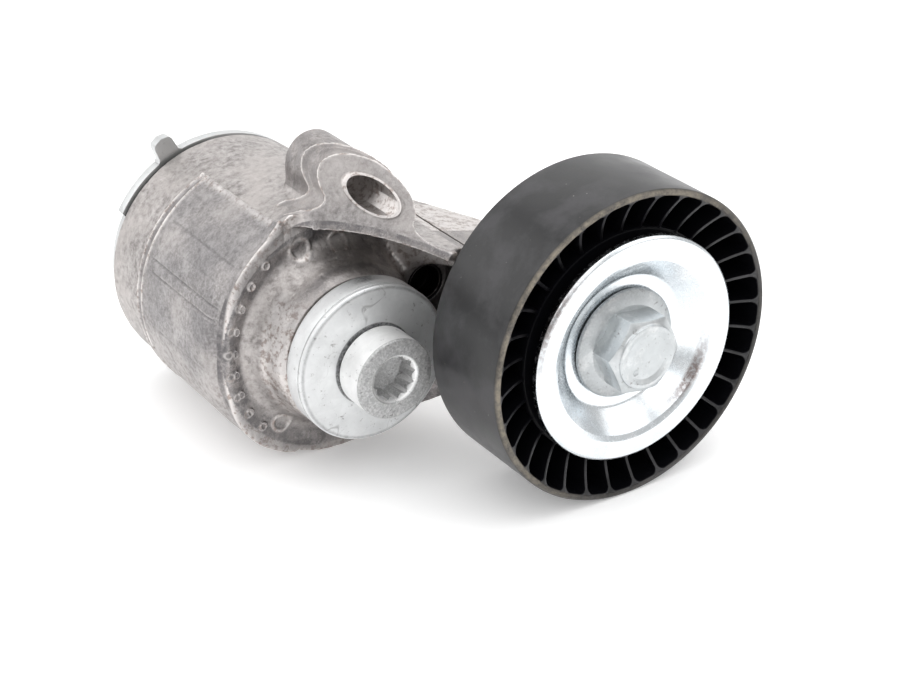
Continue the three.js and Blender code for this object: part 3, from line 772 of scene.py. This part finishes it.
def dress(body):
    """Uneven cast surface, and the masks that the material reads: bright edges (worn metal and painted
    highlights), darkening (stains and painted shade), etched panel.
    """
    me = body.data
    co, r, angle = local(me)
    no = coords(me, "normal")
    e = neighbours(me)
    bend = ((co - averaged(co, e, len(co))) * no).sum(axis=1)
    for _ in range(2):
        bend = averaged(bend, e, len(bend))
    # bright convex edges: partly worn metal, partly painted highlight
    edge = np.clip(bend / (VOXEL * VOXEL) * 1.3 - 0.16, 0, 1)
    x, y, z = co.T
    wave = value_noise(co, 5.0, 1) - 0.5
    lump = value_noise(co, 1.6, 2) - 0.5
    pit = value_noise(co, 0.8, 3)
    face = step(r, 22.0, 23.5) * (r < 29.2) * (y < -53.4) * (no[:, 1] < -0.15)
    neck = step(-y, 60.0, 61.5) * (r < 20.5) * (1 - 0.75 * step(angle, 115, 150))
    # painted shade inside the arm's pocket
    inside = step(x, 4, 10) * (r > 18.5) * (z > -8) * (z < 26) * step(-y, 53, 54) * (1 - step(-y, 80, 84))
    # painted shade in the cored recess behind the pulley; its deepest step is painted near-black
    core = step(7.6 - np.hypot(x - CORE_X, z - CORE_Z), -0.2, 0.4) * (y < -51) * (r > 15) * (y > -78)
    deepest = (np.hypot(x - STEP_X, z - STEP_Z) < 4.6) * (y > -56.3) * core
    # painted shade on faces that look down
    under = np.clip(-no[:, 2], 0, 1)
    ahead = (co - np.array(MOUTH_P)) @ np.array(MOUTH_N)
    lug = (r > 29.9) * (y > -80) * (x > -9) * (x < 13) * (z > 26)
    # painted pool of light where the light reaches into the pocket: less darkening and the bright edge tone
    # there
    lit = step(x, 11, 15) * step(z, 9, 13) * inside * (y > -70)
    # darkening mask: a darker rim face, neck and lug sides, plus the painted shade above
    stain_and_shade = 0.85 * face + 0.6 * neck + 0.6 * inside + 0.15 * under + 0.5 * lug * (ahead < -0.4)
    stain_and_shade = np.clip(stain_and_shade, 0, 0.8)
    stain_and_shade = np.minimum(stain_and_shade * (0.45 + 0.9 * value_noise(co, 7.0, 4)), 0.8) * (1 - lit)
    stain_and_shade = np.maximum(stain_and_shade * (1 - core), core * 0.55)
    stain_and_shade = np.maximum(stain_and_shade, deepest)
    # painted shade: the scribed grooves drawn darker in proportion to their depth
    for line in SCRIBED:
        stain_and_shade = np.maximum(stain_and_shade, 1.8 * line[2] * scribe(angle, y, line) * (r > 28))
    edge *= 0.45 + 0.9 * value_noise(co, 2.2, 5)
    # painted highlights: bright lines along the seams, the panel's beads and the rims of the round blanks
    flank = (np.abs(no @ np.array(MOUTH_N)) < 0.85) * lug
    rim_seam = ridge(y - SEAM_Y, 0.4) * (r > 26.8) * (r < 31)
    rim_seam = rim_seam * step(angle, 104, 107) * (1 - step(angle, 290, 310))
    span = panel_span(angle) * (r > 28.3) * (r < 30.5)
    bead = (0.8 * ridge(y - BEAD_REAR, 0.4) + 0.8 * ridge(y - BEAD_FRONT, 0.4)) * span
    long_edge = 0.55 * ridge((angle - 113.6) * math.radians(1) * PANEL_R, 1.0)
    bead += long_edge * panel_along(y) * (r > 28.3) * (y > -52)
    bead *= 0.3 + 1.0 * value_noise(co, 4.0, 7)
    # painted light: the left of the neck's shoulder drawn lighter, with less darkening
    shoulder = 0.5 * step(angle, 125, 150) * (1 - step(angle, 225, 245)) * (r < 21) * step(-y, 57, 58.5)
    # the bright tone also covers the lit part of the pocket, the shoulder and the panel's lower left: painted
    # light
    edge = np.maximum.reduce([edge, 0.9 * ridge(ahead + 0.25, 0.32) * flank,
                              0.75 * ridge(ahead + 3.35, 0.34) * flank, 0.75 * rim_seam, bead,
                              0.4 * lit, shoulder,
                              0.2 * on_panel(angle, y) * step(angle, 178, 205) * (r > 28)])
    stain_and_shade = np.maximum(stain_and_shade, 0.5 * ridge(ahead + 0.95, 0.3) * flank)
    stain_and_shade *= 1 - 0.7 * (shoulder > 0.1)
    # each round blank: a painted highlight on its rim and painted shade in the corner just outside it
    for place, far, size in MARKS:
        mx, mz = polar(far, place)
        gap = np.hypot(x - mx, z - mz)
        front = (y < -53.9) * (y > -57)
        edge = np.maximum(edge, (0.3 + 0.1 * size) * ridge(gap - size * 0.85, 0.14 + 0.1 * size) * front)
        stain_and_shade = np.maximum(stain_and_shade, 0.45 * ridge(gap - size - 0.35, 0.3) * front)
    push(body, 0.08 * wave + 0.06 * lump - 0.08 * np.clip(pit - 0.72, 0, 1) * 4)
    etched = on_panel(angle, y) * (r > 26) * (y > -56) * (0.35 + 0.9 * value_noise(co, 6.0, 6))
    # painted light: the panel's lower left etched less, so it reads lighter
    etched *= 1 - 0.55 * step(angle, 172, 205)
    etched = np.maximum(etched, 0.35 * (np.abs(ahead) < 0.4) * (r > 28.5) * (z > 25))
    etched = np.maximum(etched, 2.0 * shoulder * step(value_noise(co, 3.5, 8), 0.45, 0.6))
    attribute(body, "edge", np.clip(edge, 0, 1))
    attribute(body, "stain_and_shade", np.clip(stain_and_shade, 0, 1))
    attribute(body, "etched", np.clip(etched, 0, 1))
    # nothing may pass the widest point of the panel or the lowest point of the drum
    co = np.maximum(local(me)[0], (-PANEL_R, -200, -DRUM_R))
    me.vertices.foreach_set("co", ((co + OFFSET) * 0.001).astype(np.float32).ravel())
    me.update()


body = casting()
piece(body, CAST, "arm", "cast_aluminium", "arm_housing", angle=40)

# ------------------------------------------------------------------ pieces on the pivot


def grime_and_shade_rings(ob, cx, cz, zones):
    """Darkening mask of grime and painted shade: (inner r, outer r, first y, last y, amount) round an axis
    along Y.
    """
    co = positions(ob)
    r, y = np.hypot(co[:, 0] - cx, co[:, 2] - cz), co[:, 1]
    mask = np.zeros(len(co))
    for inner, outer, first, last, amount in zones:
        inside = step(r, inner - 0.15, inner + 0.05) * (1 - step(r, outer - 0.05, outer + 0.15))
        mask = np.maximum(mask, inside * (y >= first) * (y <= last) * amount)
    attribute(ob, "grime_and_shade", mask)


disc = turned("thrust_disc", [
    (5.6, -66, 0.3), (17.8, -66, 0.35), (17.8, -67), (17.8, -68.2), (17.8, -69.4), (17.8, -70.6, 0.1),
    (17.62, -70.7, 0.05), (17.62, -70.85, 0.05), (17.8, -70.95, 0.1), (17.8, -71.6, 0.3), (17.3, -72, 0.3),
    (16.7, -72), (10.2, -72),
    (9.5, -72), (9.3, -72), (8, -72), (5.6, -72, 0.4)], n=256)
# the ring round the bolt head's seat (7.6 to 9.3) is a painted contact shadow; the two thin rings at the rim
# are darker lines
grime_and_shade_rings(disc, 0, 0, [(16.9, 17.55, -73, -71.9, 0.45), (17.3, 17.8, -70.9, -70.6, 0.5),
                  (7.6, 9.3, -73, -71, 1.0)])


def darken_disc_rim_top():
    """Darker band along the top of the disc's rim."""
    co = positions(disc)
    rim_top_band = ridge(np.degrees(np.arctan2(co[:, 2], co[:, 0])) - 88, 10)
    rim_top_band = rim_top_band * (np.hypot(co[:, 0], co[:, 2]) > 17.6) * (co[:, 1] > -68.4)
    grime_and_shade = np.empty(len(co), np.float32)
    disc.data.attributes["grime_and_shade"].data.foreach_get("value", grime_and_shade)
    attribute(disc, "grime_and_shade", np.maximum(grime_and_shade, 0.85 * rim_top_band))


darken_disc_rim_top()
piece(disc, DISC, "base", "zinc_steel", "front_disc")


def star(points, outer, inner, phase=0):
    return [polar(outer if k % 2 == 0 else inner, phase + 180 * k / points) for k in range(2 * points)]


def thread(name, cx, cz, start, end, major, minor, pitch=1.5, n=72):
    """Closed ridged sleeve round a shank: one helical vee thread."""
    turns = (end - start) / pitch
    rows = int(turns * 6)
    verts, faces = [], []
    for j in range(rows + 1):
        for k in range(n):
            a = 2 * math.pi * k / n
            phase = (j / 6 - k / n) % 1
            r = minor + (major - minor) * (1 - abs(2 * phase - 1))
            if j == 0 or j == rows:
                r = minor
            verts.append((cx + r * math.cos(a), start + (end - start) * j / rows, cz + r * math.sin(a)))
    for j in range(rows):
        for k in range(n):
            m = (k + 1) % n
            faces.append([j * n + k, j * n + m, (j + 1) * n + m, (j + 1) * n + k])
    faces += [list(range(n)), [rows * n + k for k in range(n)]]
    return obj_of(name, mesh_of(name, verts, faces))


def mounting_bolt():
    bolt = turned("cap_bolt", [
        (0, -80.5), (6.0, -80.5), (8.75, -80.5, 0.25), (9.05, -80.2, 0.25), (9.05, -79.85),
        (9.05, -73.0, 0.3), (8.3, -72.35, 0.1), (4.6, -72.35), (4.6, 0.3), (5.0, 0.35, 0.1), (5.0, 2.4, 0.2),
        (4.3, 3.0), (4.3, 19.2, 0.3), (3.6, 20), (0, 20)], n=192)
    lead = [(0, -83), (5.75, -83), (5.75, -80.6), (5.3, -80.15), (4.6, -79.7), (0, -79.7)]
    bolt = cut(bolt, turned("lead", lead, n=128))
    socket = prism("socket", rounded([(*p, 0.28) for p in star(12, 5.25, 4.35, 6)], 3), -83, -75)
    bolt = cut(bolt, socket)
    tip = turned("drill", [(0, -76), (4.4, -76), (4.4, -75), (0, -73.4)], n=64)
    return cut(bolt, tip)


cap_screw = mounting_bolt()
# the socket's inside is painted shade; the head's face is grime, and its rim is drawn darker
grime_and_shade_rings(cap_screw, 0, 0, [(0, 5.6, -79.9, -70, 0.6), (5.4, 8.5, -81, -80.4, 0.65),
                       (8.4, 9.2, -80.6, -80.0, 0.65)])
ridges = thread("thread", 0, 0, 2.6, 19.0, 5.0, 4.25)
# the whole thread drawn darker
grime_and_shade_rings(ridges, 0, 0, [(0, 9, 0, 25, 0.4)])
cap_screw = join("mounting_bolt", cap_screw, ridges)
piece(cap_screw, ZINC, "mounting_bolt", "zinc_steel", "mounting_bolt")


def mounting_plate():
    """Thin round plate with one lug, a lower edge over part of its round, and the arm's stop."""
    tab = [(28.0, -3.6, 0.8), (28.6, -2.6, 0.8), (32.6, -2.35, 1.5), (33.2, 0), (32.6, 2.35, 1.5),
           (28.6, 2.6, 0.8), (28.0, 3.6, 0.8)]
    turn = math.radians(114)
    lug = [(x * math.cos(turn) - z * math.sin(turn), x * math.sin(turn) + z * math.cos(turn))
           for x, z in rounded(tab, 5)]
    outline = arc(28.3, 36, 106.8, 60) + lug + arc(28.3, 121.2, 149, 24) + arc(26.7, 150.5, 394.5, 160)
    plate = prism("base_plate", outline, -2.4, 0)
    plate = cut(plate, turned("hole", [(0, -5), (8.8, -5), (8.8, 3), (0, 3)], n=96))
    stop = prism("stop", arc(24.7, -100, -80, 10) + arc(22.3, -80, -100, 10), -8.5, -1)
    plate = cut(plate, stop, "UNION")
    return bevelled(plate, 0.3, 40, 3)


piece(mounting_plate(), PLATE, "base", "zinc_steel", "mounting_plate")
tube = turned("pivot_sleeve", [(5.4, 0, 0.3), (8.5, 0, 0.4), (8.5, -65.6, 0.4), (6.3, -65.6), (6.3, -63.2),
                               (5.4, -63.2)], n=128)
piece(tube, STEEL, "base", "bare_steel", "pivot_tube")
washer = turned("neck_washer", [(9, -65.7), (16.6, -65.7, 0.2), (16.6, -64.8, 0.2), (9, -64.8)], n=128)
piece(washer, LINING, "arm", "grey_polymer", "thrust_washer")
seal = turned("dust_ring", [(25.4, -3.3), (27.6, -3.3, 0.2), (27.6, -2.7, 0.2), (25.4, -2.7)], n=160)
piece(seal, RUBBER, "base", "black_rubber", "rear_seal")

# ------------------------------------------------------------------ pulley
FRONT, BACK = -106.8, -83.4
RIBS, PHASE = 32, 3.5


def grill(front):
    """Front or rear of the ribbed disc: one rounded pocket in each of the 32 sectors."""
    pitch = math.radians(360 / RIBS)
    sign = -1 if front else 1
    face = FRONT if front else BACK
    floor = -96.5 if front else -93.5
    r_in, r_out, half = 25.4, 33.45, 0.36

    def height(u):
        s = min(max((u - 24.8) / (33.7 - 24.8), 0), 1)
        return face - sign * (0.12 + 4.2 * (1 - s ** 1.5))

    def side(u):
        return u * pitch / 2 - half
    corner = [(r_in, -side(r_in), 0.45), (r_out, -side(r_out), 1.2), (r_out, side(r_out), 1.2),
              (r_in, side(r_in), 0.45)]
    outline = rounded(corner, 6)
    dense = []
    for k, (u, t) in enumerate(outline):
        u2, t2 = outline[(k + 1) % len(outline)]
        steps = max(1, round(math.dist((u, t), (u2, t2)) / 0.9))
        dense += [(u + (u2 - u) * j / steps, t + (t2 - t) * j / steps) for j in range(steps)]
    n = len(dense)
    mid = ((r_in + r_out) / 2, 0.0)
    lo, hi = 24.6, 34.3
    verts, faces = [], []

    def put(u, a, y):
        verts.append((REACH + u * math.cos(a), y, RISE + u * math.sin(a)))
        return len(verts) - 1
    for i in range(RIBS):
        centre = math.radians(PHASE) + (i + 0.5) * pitch
        rings = []
        row = []
        for u, t in dense:                        # sector's own border
            du, dt = u - mid[0], t / u
            k = min((hi - mid[0]) / du if du > 1e-9 else (lo - mid[0]) / du if du < -1e-9 else 1e9,
                    (pitch / 2) / abs(dt) if abs(dt) > 1e-9 else 1e9)
            ub, tb = mid[0] + du * k, dt * k
            row.append(put(ub, centre + tb, height(ub)))
        rings.append(row)
        for out, drop in ((0.18, 0.0), (0.05, 0.05), (0.0, 0.18), (0.0, 2.0), (-0.05, None)):
            row = []
            for k, (u, t) in enumerate(dense):
                a, b = dense[k - 1], dense[(k + 1) % n]
                tx, tt = b[0] - a[0], b[1] - a[1]
                length = math.hypot(tx, tt)
                nu, nt = tt / length, -tx / length
                if nu * (u - mid[0]) + nt * t < 0:
                    nu, nt = -nu, -nt
                v, w = u + nu * out, t + nt * out
                y = floor if drop is None else height(v) - sign * drop
                row.append(put(v, centre + w / v, y))
            rings.append(row)
        for a, b in zip(rings, rings[1:]):
            faces += [[a[k], a[(k + 1) % n], b[(k + 1) % n], b[k]] for k in range(n)]
        faces.append(rings[-1])
    return obj_of("grill", mesh_of("grill", verts, faces))


def flip_to(ob, sign):
    """Turns an open sheet so that most of its area faces along sign * Y."""
    me = ob.data
    total = sum(p.normal.y * p.area for p in me.polygons)
    if total * sign < 0:
        me.flip_normals()
    return ob


band = turned("band", [
    (33.5, FRONT + 1.4), (33.7, FRONT + 0.1, 0.2), (33.9, FRONT, 0.1), (34.5, FRONT, 0.2),
    (35, FRONT + 0.5, 0.4),
    (35, BACK - 0.5, 0.4), (34.5, BACK, 0.2), (33.9, BACK, 0.1), (33.7, BACK - 0.1, 0.2), (33.5, BACK - 1.4)],
    REACH, RISE, 320)
hub = turned("hub", [
    (20.3, FRONT + 4.4, 0.2), (25.1, FRONT + 4.2, 0.3), (25.35, FRONT + 4.8), (25.35, BACK - 4.8),
    (25.1, BACK - 4.2, 0.3), (20.3, BACK - 4.4, 0.2)], REACH, RISE, 192)
pulley = join("idler_pulley", band, hub, flip_to(grill(True), -1), flip_to(grill(False), 1))


def wear_and_pocket_shade_of(ob):
    co = positions(ob)
    r = np.hypot(co[:, 0] - REACH, co[:, 2] - RISE)
    y = co[:, 1]
    near = np.minimum(np.abs(y - FRONT), np.abs(y - BACK))
    angle = np.arctan2(co[:, 2] - RISE, co[:, 0] - REACH)
    side = np.clip(0.55 + 0.75 * np.cos(angle - math.radians(140)), 0.12, 1)
    rim = np.clip(1.25 - near / 0.45, 0, 1) * (r > 33.6) * side
    attribute(ob, "wear", np.clip(rim, 0, 1))
    # pockets of the ribbed faces, which get painted shade
    top = np.abs(coords(ob.data, "normal")[:, 1]) > 0.6
    rib = np.clip((r - 25.6) / 3.5, 0, 1) * top * (near < 4.3)
    attribute(ob, "painted_pocket_shade", np.clip((r < 33.62) * (near > 0.2) * (1 - rib), 0, 1))


wear_and_pocket_shade_of(pulley)
piece(pulley, NYLON, "pulley", "black_nylon", "pulley_shell", angle=28)

cap = turned("bearing_cap", [
    (5.6, -102.3), (14.9, -102.3, 1.6), (16.6, -103.9), (17.6, -104.9), (18.2, -105.5), (18.7, -105.95),
    (19.7, -106.9, 0.9), (21.0, -107.5, 1.4), (24.0, -107.5), (24.6, -107.5, 0.5),
    (25.3, -107.0, 0.6), (25.3, -105.7, 0.2), (24.9, -105.7, 0.2), (24.8, -106.6, 0.5), (21.2, -106.7, 1.0),
    (20.6, -106.2, 1.2), (15.6, -101.2, 1.2), (5.6, -101.2)], REACH, RISE, 256, 6)


def scorch(ob):
    """Burnt streak on the cap's cone, and a dark line along its rim."""
    co = positions(ob)
    far = np.hypot(co[:, 0] - REACH, co[:, 2] - RISE)
    around = np.degrees(np.arctan2(co[:, 2] - RISE, co[:, 0] - REACH))
    streak = (far > 18.3) * (far < 20.0) * ridge(around + 34, 24) * 0.85
    line = (far > 24.1) * (far < 25.4) * ridge(around - 150, 28) * 0.7
    attribute(ob, "grime_and_shade", np.maximum(streak, line))


scorch(cap)
piece(cap, CAP, "arm", "bright_zinc", "front_dust_cap")


def flange_bolt():
    seat, top = -102.6, -111.2
    flange = turned("flange", [(0, seat), (12.0, seat, 0.2), (12.4, seat - 0.45, 0.3),
                               (12.1, seat - 0.95, 0.3), (9.0, seat - 1.75, 0.8),
                               (7.6, seat - 1.9), (0, seat - 1.9)], REACH, RISE, 160)
    hexagon = [polar(7.9 / math.cos(math.radians(30)), 54.5 + 60 * k) for k in range(6)]
    head = prism("hex", rounded([(*p, 0.3) for p in hexagon], 4), top - 1, seat - 1, REACH, RISE)
    crown = turned("crown", [(0, seat - 0.5), (9.8, seat - 0.5), (9.8, top + 1.9), (7.4, top + 0.7, 0.2),
                             (7.15, top + 0.5, 0.1), (7.05, top + 0.1, 0.25), (6.3, top, 0.4),
                             (5.0, top + 0.5, 0.9),
                             (0, top + 0.7)], REACH, RISE, 160)
    head = cut(head, crown, "INTERSECT")
    dimple = turned("dimple", [(0, top - 1), (0.95, top - 1), (0.8, top + 0.5, 0.3), (0, top + 0.95)],
                    REACH - 2.6, RISE - 3.1, 48)
    head = cut(head, dimple)
    head = bevelled(head, 0.12, 25)
    shank = [(0, seat - 1), (5, seat - 1), (5, -68.4), (4.1, -67.2), (0, -67.2)]
    shank = turned("shank", shank, REACH, RISE, 64)
    return join("flange_bolt", flange, head, shank)


hex_bolt = flange_bolt()
# the ring at the flange's outer edge is a painted shadow under the flange; the ring round the hex's base is
# painted shade in that corner
grime_and_shade_rings(hex_bolt, REACH, RISE, [(12.0, 12.6, -104, -102, 0.6), (8.2, 9.0, -104.9, -104.2, 0.2)])
piece(hex_bolt, DULL, "arm", "zinc_steel", "pulley_bolt")
shield = turned("back_shield", [(11.3, -86.1, 0.2), (16.8, -86.1, 0.6), (19.4, -85.3, 0.3),
                                (19.4, -84.6, 0.2), (16.9, -85.3, 0.6), (11.3, -85.3, 0.2)], REACH, RISE, 160)
piece(shield, PLATE, "arm", "zinc_steel", "rear_dust_shield")


def race(name, side, lip, back, front, rear):
    """Bearing ring with a round groove for the balls; side is 1 outside the balls, -1 inside."""
    pitch, mid, groove = 14.3, -93.8, 3.34
    half = math.degrees(math.acos(abs(lip - pitch) / groove))
    path = [(pitch + side * u, mid + v) for u, v in arc(groove, -half, half, 16)]
    return turned(name, [(lip, front, 0.2), *path, (lip, rear, 0.2), (back, rear, 0.3), (back, front, 0.3)],
                  REACH, RISE, 192)


piece(race("outer_race", 1, 17, 20, -100.7, -86.9), RACE, "pulley", "bearing_steel", "bearing_outer_ring")
piece(race("inner_race", -1, 11.6, 8.6, -100.8, -86.8), RACE, "arm", "bearing_steel", "bearing_inner_ring")

for node, look in {
        "bearing_cage": CAGE, "torsion_spring": SPRING,
        "front_bearing_seal": RUBBER, "rear_bearing_seal": RUBBER, "bolt_retainer": RUBBER,
        "rear_spring_seat": LINING, "front_spring_seat": LINING, "damper_ring": LINING,
        "front_bush": LINING, "rear_bush": LINING,
        **{f"bearing_ball_{k}": RACE for k in range(1, 10)}}.items():
    ob = frame["nodes"][node]
    ob.data.materials.clear()
    ob.data.materials.append(look)

# ------------------------------------------------------------------ floor, light, camera
right = Vector((0.8355, -0.5495, 0.0))
ahead = Vector((0.5495, 0.8355, 0.0))
up = Vector((0, 0, 1))


def backdrop():
    """Plain white sweep: a floor that curves up well behind the object."""
    rows = [(-1.6, 0.0), (0.9, 0.0)]
    rows += [(0.9 + 0.5 * math.sin(a), 0.5 - 0.5 * math.cos(a)) for a in np.linspace(0.1, math.pi / 2, 12)]
    rows.append((1.4, 2.2))
    verts = []
    for d, z in rows:
        for w in (-2.5, 2.5):
            verts.append(tuple(ahead * d + right * w + Vector((0, 0, z))))
    faces = [[2 * k, 2 * k + 1, 2 * k + 3, 2 * k + 2] for k in range(len(rows) - 1)]
    me = bpy.data.meshes.new("sweep")
    me.from_pydata(verts, [], faces)
    ob = obj_of("sweep", me)
    smooth(ob, 60)
    m = Look("white_sweep", roughness=0.8, color=(0.93, 0.93, 0.93), Emission_Color=(1, 1, 1, 1),
             Emission_Strength=0.2)
    ob.data.materials.append(m.mat)
    return ob


backdrop()


def softbox(name, where, target, power, width, height, color=(1, 1, 1)):
    light = bpy.data.lights.new(name, "AREA")
    light.shape = "RECTANGLE"
    light.size, light.size_y = width, height
    light.energy = power
    light.color = color
    ob = bpy.data.objects.new(name, light)
    bpy.context.scene.collection.objects.link(ob)
    ob.location = where
    ob.rotation_euler = (Vector(target) - Vector(where)).to_track_quat("-Z", "Y").to_euler()
    return ob


softbox("overhead", -ahead * 0.1 + up * 1.2, (0, 0, 0), 6.5, 1.3, 1.1)
softbox("front_window", -ahead * 1.1 + up * 0.9, (0, 0, 0.0), 5.0, 1.6, 0.8)
softbox("left_window", -right * 1.0 + ahead * 0.15 + up * 0.6, (0, 0, 0.02), 3.6, 1.0, 0.9)
softbox("right_window", right * 0.85 - ahead * 0.15 + up * 0.85, (0, 0, 0.02), 2.4, 0.9, 0.9)
softbox("back_wash", ahead * 0.9 + up * 1.1, (0, 0.2, 0.0), 2.5, 1.6, 0.8)
world = bpy.data.worlds.new("studio")
bpy.context.scene.world = world
world.use_nodes = True
background = world.node_tree.nodes["Background"]
background.inputs["Color"].default_value = (1, 1, 1, 1)
background.inputs["Strength"].default_value = 0.58

lens = bpy.data.cameras.new("camera")
lens.lens, lens.sensor_width, lens.clip_start = 79.04, 36.0, 0.01
camera = bpy.data.objects.new("camera", lens)
bpy.context.scene.collection.objects.link(camera)
down = Vector((-0.2537, -0.3857, -0.8871))
look = Vector((0.4874, 0.7412, -0.4616))
seat = (np.array((-188.32, -387.42, 197.13)) + OFFSET) * 0.001
camera.matrix_world = Matrix.Translation(Vector(seat)) @ Matrix((
    (right.x, -down.x, -look.x, 0), (right.y, -down.y, -look.y, 0), (right.z, -down.z, -look.z, 0),
    (0, 0, 0, 1)))
bpy.context.scene.camera = camera
bpy.context.scene.view_settings.view_transform = "Standard"
